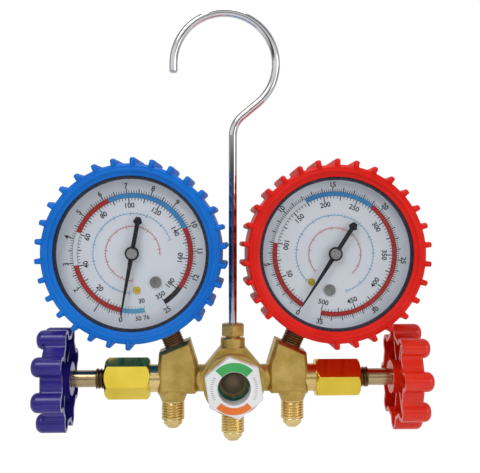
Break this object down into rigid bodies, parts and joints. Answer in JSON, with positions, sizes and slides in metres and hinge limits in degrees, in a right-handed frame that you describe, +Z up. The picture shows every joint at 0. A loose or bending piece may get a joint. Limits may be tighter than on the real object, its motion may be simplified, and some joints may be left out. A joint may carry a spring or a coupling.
{
  "type": "refrigerant manifold gauge",
  "caption": "Brass manifold bar with flare ports, sight glass, handwheel valves and two round pressure gauges in ribbed rubber boots, hung from a wire hook.",
  "frame": {"origin": "middle of the service port's threaded length, on its axis, below the sight glass", "axes": "+X along the manifold towards the high-side (red) valve, +Y from the dials to the back, +Z up towards the hook; -Z runs out of the service port"},
  "size_m": [0.1842, 0.051, 0.2085],
  "materials": {
    "forged_brass": "dull as-forged brass",
    "machined_brass": "bright turned brass",
    "stem_brass": "turned brass, slightly tarnished",
    "socket_bronze": "dark bronze",
    "copper": "annealed copper",
    "steel": "plain steel",
    "hook_chrome": "bright chrome plate",
    "case_steel": "black enamel",
    "bezel_steel": "black enamel, worn bright on its edge",
    "ring_white": "white with green and orange arcs",
    "dial_white": "white enamel with printed scales",
    "pointer_black": "matt black",
    "cap_silver": "turned aluminium",
    "clear_glass": "clear",
    "low_rubber": "smooth moulded rubber, blue",
    "high_rubber": "smooth moulded rubber, red",
    "low_wheel_plastic": "moulded plastic, violet blue",
    "high_wheel_plastic": "moulded plastic, red",
    "gasket_green": "green sealing rubber",
    "black_rubber": "black rubber",
    "seat_plastic": "white fluoropolymer",
    "spring_bronze": "phosphor bronze"
  },
  "bodies": {
    "manifold": {"manifold_body": "forged_brass", "sight_glass_ring": "ring_white", "sight_glass_lens": "clear_glass", "sight_glass_gasket": "gasket_green", "hook_gland": "machined_brass", "low_bonnet": "machined_brass", "low_bonnet_gasket": "copper", "low_gauge_boot": "low_rubber", "low_gauge_case": "case_steel", "low_gauge_bezel": "bezel_steel", "low_gauge_glass": "clear_glass", "low_dial": "dial_white", "low_dial_screws": "steel", "low_gauge_socket": "socket_bronze", "low_bourdon_tube": "spring_bronze", "low_tube_tip": "machined_brass", "low_movement_frame": "machined_brass", "low_movement_screws": "steel", "low_case_screws": "steel", "low_hairspring": "spring_bronze", "high_bonnet": "machined_brass", "high_bonnet_gasket": "copper", "high_gauge_boot": "high_rubber", "high_gauge_case": "case_steel", "high_gauge_bezel": "bezel_steel", "high_gauge_glass": "clear_glass", "high_dial": "dial_white", "high_dial_screws": "steel", "high_gauge_socket": "socket_bronze", "high_bourdon_tube": "spring_bronze", "high_tube_tip": "machined_brass", "high_movement_frame": "machined_brass", "high_movement_screws": "steel", "high_case_screws": "steel", "high_hairspring": "spring_bronze"},
    "hook": {"hook": "hook_chrome"},
    "low_valve_piston": {"low_piston": "stem_brass", "low_piston_oring": "black_rubber", "low_seat_disc": "seat_plastic"},
    "low_valve_spindle": {"low_valve_stem": "stem_brass", "low_handwheel": "low_wheel_plastic", "low_handwheel_screw": "steel"},
    "low_needle": {"low_pinion_arbor": "steel", "low_pointer": "pointer_black", "low_pointer_cap": "cap_silver"},
    "low_sector": {"low_sector_gear": "machined_brass"},
    "low_link": {"low_tip_link": "steel"},
    "high_valve_piston": {"high_piston": "stem_brass", "high_piston_oring": "black_rubber", "high_seat_disc": "seat_plastic"},
    "high_valve_spindle": {"high_valve_stem": "stem_brass", "high_handwheel": "high_wheel_plastic", "high_handwheel_screw": "steel"},
    "high_needle": {"high_pinion_arbor": "steel", "high_pointer": "pointer_black", "high_pointer_cap": "cap_silver"},
    "high_sector": {"high_sector_gear": "machined_brass"},
    "high_link": {"high_tip_link": "steel"}
  },
  "joints": [
    {"name": "hook_swivel", "type": "hinge", "parent": "manifold", "child": "hook", "pos_m": [0, 0, 0.03235], "axis": [0, 0, 1], "continuous": true},
    {"name": "low_valve_turn", "type": "hinge", "parent": "low_valve_piston", "child": "low_valve_spindle", "pos_m": [-0.076, 0, 0.02135], "axis": [-1, 0, 0], "range_deg": [-540, 720]},
    {"name": "low_valve_travel", "type": "slide", "parent": "manifold", "child": "low_valve_piston", "axis": [-1, 0, 0], "range_m": [-0.00226, 0.00301]},
    {"name": "low_pointer_turn", "type": "hinge", "parent": "manifold", "child": "low_needle", "pos_m": [-0.04642, 0, 0.08185], "axis": [0.0483, 0.9986, 0.0201], "range_deg": [-24.5, 317], "stiffness_Nm_per_rad": 0.002},
    {"name": "low_sector_turn", "type": "hinge", "parent": "manifold", "child": "low_sector", "pos_m": [-0.03235, -0.00037, 0.06653], "axis": [0.0483, 0.9986, 0.0201], "range_deg": [-26.47, 2.09]},
    {"name": "low_link_turn", "type": "hinge", "parent": "low_sector", "child": "low_link", "pos_m": [-0.0259, -0.00074, 0.06922], "axis": [0.0483, 0.9986, 0.0201], "range_deg": [-2.09, 26.47]},
    {"name": "high_valve_turn", "type": "hinge", "parent": "high_valve_piston", "child": "high_valve_spindle", "pos_m": [0.076, 0, 0.02135], "axis": [1, 0, 0], "range_deg": [-540, 720]},
    {"name": "high_valve_travel", "type": "slide", "parent": "manifold", "child": "high_valve_piston", "axis": [1, 0, 0], "range_m": [-0.00226, 0.00301]},
    {"name": "high_pointer_turn", "type": "hinge", "parent": "manifold", "child": "high_needle", "pos_m": [0.04766, 0, 0.08131], "axis": [0, 1, 0], "range_deg": [0, 340.6], "stiffness_Nm_per_rad": 0.002},
    {"name": "high_sector_turn", "type": "hinge", "parent": "manifold", "child": "high_sector", "pos_m": [0.04613, 0, 0.06057], "axis": [0, 1, 0], "range_deg": [-28.43, 0.05]},
    {"name": "high_link_turn", "type": "hinge", "parent": "high_sector", "child": "high_link", "pos_m": [0.05252, 0, 0.0577], "axis": [0, 1, 0], "range_deg": [-0.05, 28.43]}
  ],
  "couplings": [
    {"joint": "low_valve_travel", "follows": "low_valve_turn", "m_per_rad": 0.00023873},
    {"joint": "low_sector_turn", "follows": "low_pointer_turn", "ratio": -0.083333},
    {"joint": "low_link_turn", "follows": "low_pointer_turn", "ratio": 0.083333},
    {"joint": "high_valve_travel", "follows": "high_valve_turn", "m_per_rad": 0.00023873},
    {"joint": "high_sector_turn", "follows": "high_pointer_turn", "ratio": -0.083333},
    {"joint": "high_link_turn", "follows": "high_pointer_turn", "ratio": 0.083333}
  ]
}
